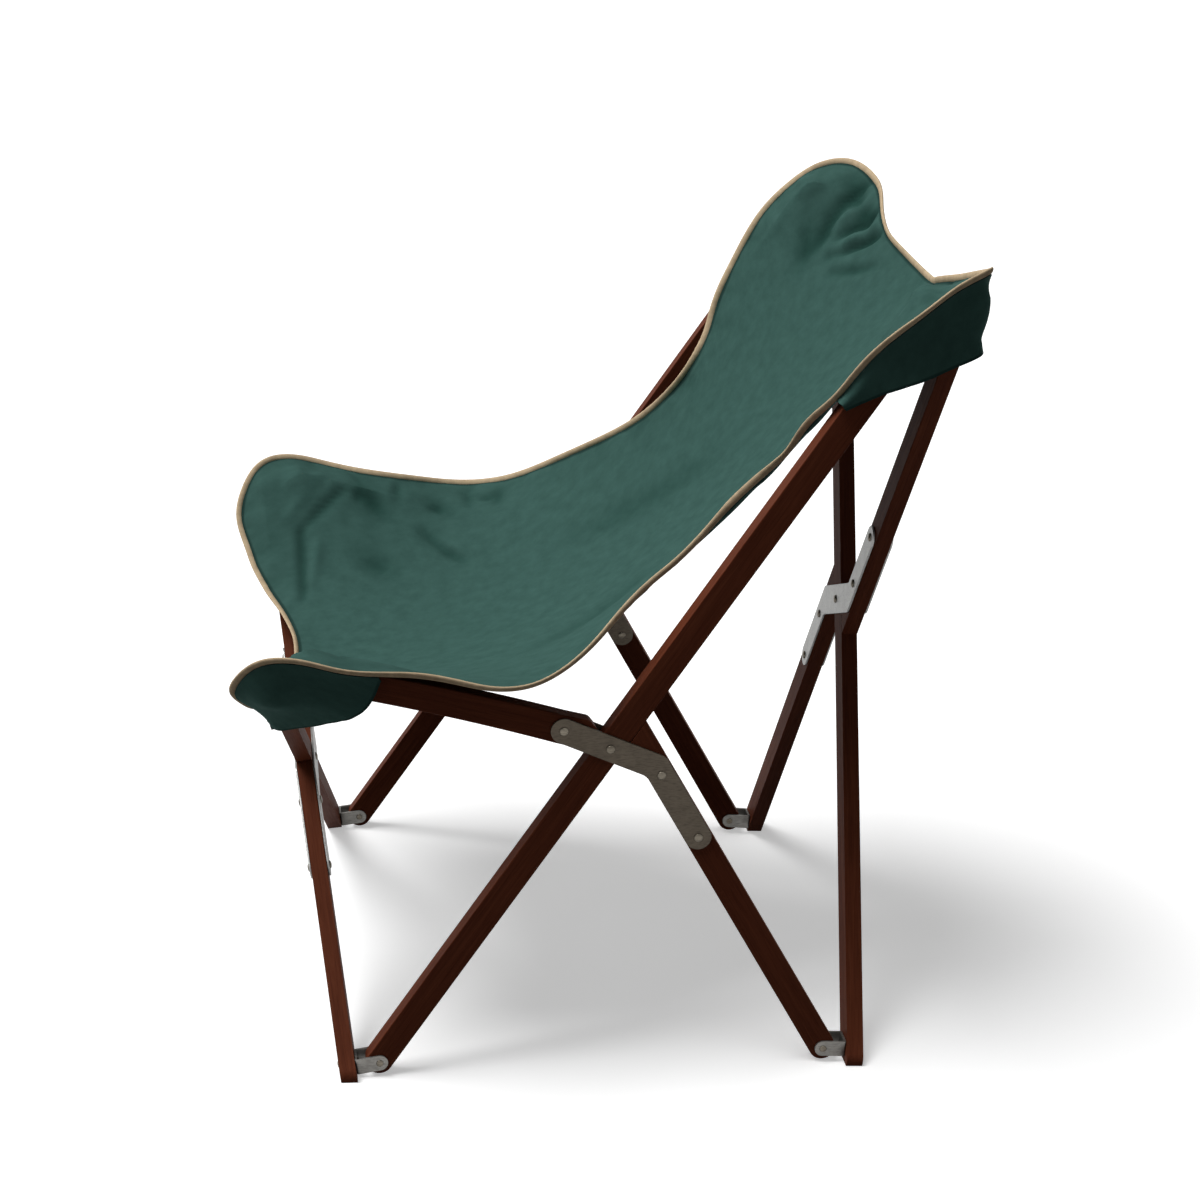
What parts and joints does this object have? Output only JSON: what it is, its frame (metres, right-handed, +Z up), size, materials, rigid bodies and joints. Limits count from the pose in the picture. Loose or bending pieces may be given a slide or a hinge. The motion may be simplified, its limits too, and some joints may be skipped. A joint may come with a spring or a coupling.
{
  "type": "folding sling chair",
  "caption": "Folding wooden sling chair with crossed stick sides, front and back on steel plates and brackets, and a canvas sling hung from corner pockets.",
  "frame": {"origin": "centre of the bounding box at floor level", "axes": "+Z up, -Y towards the front edge of the seat, +X towards the sitter's left"},
  "size_m": [0.7666, 0.8645, 0.9897],
  "materials": {
    "wood": "stained and oiled hardwood",
    "steel": "dull plated steel",
    "canvas": "plain woven canvas",
    "tape": "woven edge tape"
  },
  "bodies": {
    "left_front_floor_corner": {"left_front_floor_bracket": "steel", "left_front_floor_pin": "steel"},
    "right_front_floor_corner": {"right_front_floor_bracket": "steel", "right_front_floor_pin": "steel"},
    "left_back_floor_corner": {"left_back_floor_bracket": "steel", "left_back_floor_pin": "steel"},
    "right_back_floor_corner": {"right_back_floor_bracket": "steel", "right_back_floor_pin": "steel"},
    "left_front_top_corner": {"left_front_top_bracket": "steel", "left_front_top_pin": "steel"},
    "right_front_top_corner": {"right_front_top_bracket": "steel", "right_front_top_pin": "steel"},
    "left_back_top_corner": {"left_back_top_bracket": "steel", "left_back_top_pin": "steel"},
    "right_back_top_corner": {"right_back_top_bracket": "steel", "right_back_top_pin": "steel"},
    "left_long": {"left_long_stick": "wood", "left_main_pivot": "steel", "sling_panel": "canvas", "left_back_pocket": "canvas", "right_back_pocket": "canvas", "left_front_pocket": "canvas", "right_front_pocket": "canvas", "piping": "tape"},
    "right_long": {"right_long_stick": "wood", "right_main_pivot": "steel"},
    "left_lower": {"left_lower_stick": "wood", "left_outer_plate": "steel", "left_inner_plate": "steel", "left_hinge_rivet": "steel"},
    "right_lower": {"right_lower_stick": "wood", "right_outer_plate": "steel", "right_inner_plate": "steel", "right_hinge_rivet": "steel"},
    "left_seat": {"left_seat_stick": "wood"},
    "right_seat": {"right_seat_stick": "wood"},
    "front_split_bar": {"front_lower_half_bar": "wood", "front_upper_half_bar": "wood", "front_outer_plate": "steel", "front_inner_plate": "steel", "front_centre_pivot": "steel", "left_front_floor_rivet": "steel", "right_front_top_rivet": "steel"},
    "front_bar": {"front_through_bar": "wood", "right_front_floor_rivet": "steel", "left_front_top_rivet": "steel"},
    "back_bar": {"back_through_bar": "wood", "left_back_floor_rivet": "steel", "right_back_top_rivet": "steel"},
    "back_split_bar": {"back_lower_half_bar": "wood", "back_upper_half_bar": "wood", "back_outer_plate": "steel", "back_inner_plate": "steel", "back_centre_pivot": "steel", "right_back_floor_rivet": "steel", "left_back_top_rivet": "steel"}
  },
  "joints": [
    {"name": "left_front_foot_swing", "type": "hinge", "parent": "left_front_floor_corner", "child": "left_long", "pos_m": [0.333, -0.251, 0.019], "axis": [0.9991, 0.0419, 0], "range_deg": [0, 32.2]},
    {"name": "left_side_fold", "type": "hinge", "parent": "left_long", "child": "left_lower", "pos_m": [0.32198, 0.01204, 0.42751], "axis": [-0.9991, -0.0419, 0], "range_deg": [0, 55], "deforming": ["sling_panel", "left_back_pocket", "right_back_pocket", "left_front_pocket", "right_front_pocket", "piping"]},
    {"name": "left_seat_swing", "type": "hinge", "parent": "left_lower", "child": "left_seat", "pos_m": [0.32428, -0.04303, 0.45149], "axis": [0.9991, 0.0419, 0], "range_deg": [-36.4, 0]},
    {"name": "left_back_foot_swing", "type": "hinge", "parent": "left_lower", "child": "left_back_floor_corner", "pos_m": [0.31026, 0.29152, 0.019], "axis": [0.9991, 0.0419, 0], "range_deg": [0, 31.1]},
    {"name": "front_split_turn", "type": "hinge", "parent": "left_front_floor_corner", "child": "front_split_bar", "pos_m": [0.333, -0.28939, 0.01214], "axis": [0, 0.9844, 0.1759], "range_deg": [0, 41.8]},
    {"name": "front_cross_fold", "type": "hinge", "parent": "front_split_bar", "child": "front_bar", "pos_m": [0, -0.33444, 0.2642], "axis": [0, 0.9844, 0.1759], "range_deg": [-83.4, 0]},
    {"name": "front_bar_turn", "type": "hinge", "parent": "front_bar", "child": "right_front_floor_corner", "pos_m": [-0.333, -0.28939, 0.01214], "axis": [0, 0.9844, 0.1759], "range_deg": [0, 41.8]},
    {"name": "right_front_foot_swing", "type": "hinge", "parent": "right_front_floor_corner", "child": "right_long", "pos_m": [-0.333, -0.251, 0.019], "axis": [0.9991, -0.0419, 0], "range_deg": [0, 32.2]},
    {"name": "right_side_fold", "type": "hinge", "parent": "right_long", "child": "right_lower", "pos_m": [-0.32198, 0.01204, 0.42751], "axis": [0.9991, -0.0419, 0], "range_deg": [-55.1, 0]},
    {"name": "right_seat_swing", "type": "hinge", "parent": "right_lower", "child": "right_seat", "pos_m": [-0.32428, -0.04303, 0.45149], "axis": [0.9991, -0.0419, 0], "range_deg": [-36.4, 0]},
    {"name": "right_back_foot_swing", "type": "hinge", "parent": "right_lower", "child": "right_back_floor_corner", "pos_m": [-0.31026, 0.29152, 0.019], "axis": [0.9991, -0.0419, 0], "range_deg": [0, 31.1]},
    {"name": "back_bar_turn", "type": "hinge", "parent": "left_back_floor_corner", "child": "back_bar", "pos_m": [0.31026, 0.33046, 0.01671], "axis": [0, 0.9983, -0.0586], "range_deg": [0, 26.1]},
    {"name": "back_cross_fold", "type": "hinge", "parent": "back_bar", "child": "back_split_bar", "pos_m": [0, 0.35779, 0.482], "axis": [0, 0.9983, -0.0586], "range_deg": [-52.2, 0]},
    {"name": "left_front_top_swing", "type": "hinge", "parent": "left_seat", "child": "left_front_top_corner", "pos_m": [0.3368, -0.34162, 0.526], "axis": [0.9991, 0.0419, 0], "range_deg": [0, 59.3]},
    {"name": "right_front_top_swing", "type": "hinge", "parent": "right_seat", "child": "right_front_top_corner", "pos_m": [-0.3368, -0.34162, 0.526], "axis": [0.9991, -0.0419, 0], "range_deg": [0, 59.3]},
    {"name": "left_back_top_swing", "type": "hinge", "parent": "left_long", "child": "left_back_top_corner", "pos_m": [0.30798, 0.34598, 0.94615], "axis": [0.9991, 0.0419, 0], "range_deg": [-24.1, 0]},
    {"name": "right_back_top_swing", "type": "hinge", "parent": "right_long", "child": "right_back_top_corner", "pos_m": [-0.30798, 0.34598, 0.94615], "axis": [0.9991, -0.0419, 0], "range_deg": [-24.1, 0]}
  ],
  "couplings": [
    {"joint": "left_front_foot_swing", "follows": "left_side_fold", "ratio": 0.5845},
    {"joint": "left_seat_swing", "follows": "left_side_fold", "ratio": -0.66},
    {"joint": "left_back_foot_swing", "follows": "left_side_fold", "ratio": 0.5635},
    {"joint": "front_split_turn", "follows": "left_side_fold", "ratio": 0.7576},
    {"joint": "front_cross_fold", "follows": "left_side_fold", "ratio": -1.5151},
    {"joint": "front_bar_turn", "follows": "left_side_fold", "ratio": 0.7576},
    {"joint": "right_front_foot_swing", "follows": "left_side_fold", "ratio": 0.5845},
    {"joint": "right_side_fold", "follows": "left_side_fold", "ratio": -1},
    {"joint": "right_seat_swing", "follows": "left_side_fold", "ratio": -0.66},
    {"joint": "right_back_foot_swing", "follows": "left_side_fold", "ratio": 0.5635},
    {"joint": "back_bar_turn", "follows": "left_side_fold", "ratio": 0.4736},
    {"joint": "back_cross_fold", "follows": "left_side_fold", "ratio": -0.9471},
    {"joint": "left_front_top_swing", "follows": "left_side_fold", "ratio": 1.0755},
    {"joint": "right_front_top_swing", "follows": "left_side_fold", "ratio": 1.0755},
    {"joint": "left_back_top_swing", "follows": "left_side_fold", "ratio": -0.4365},
    {"joint": "right_back_top_swing", "follows": "left_side_fold", "ratio": -0.4365}
  ]
}
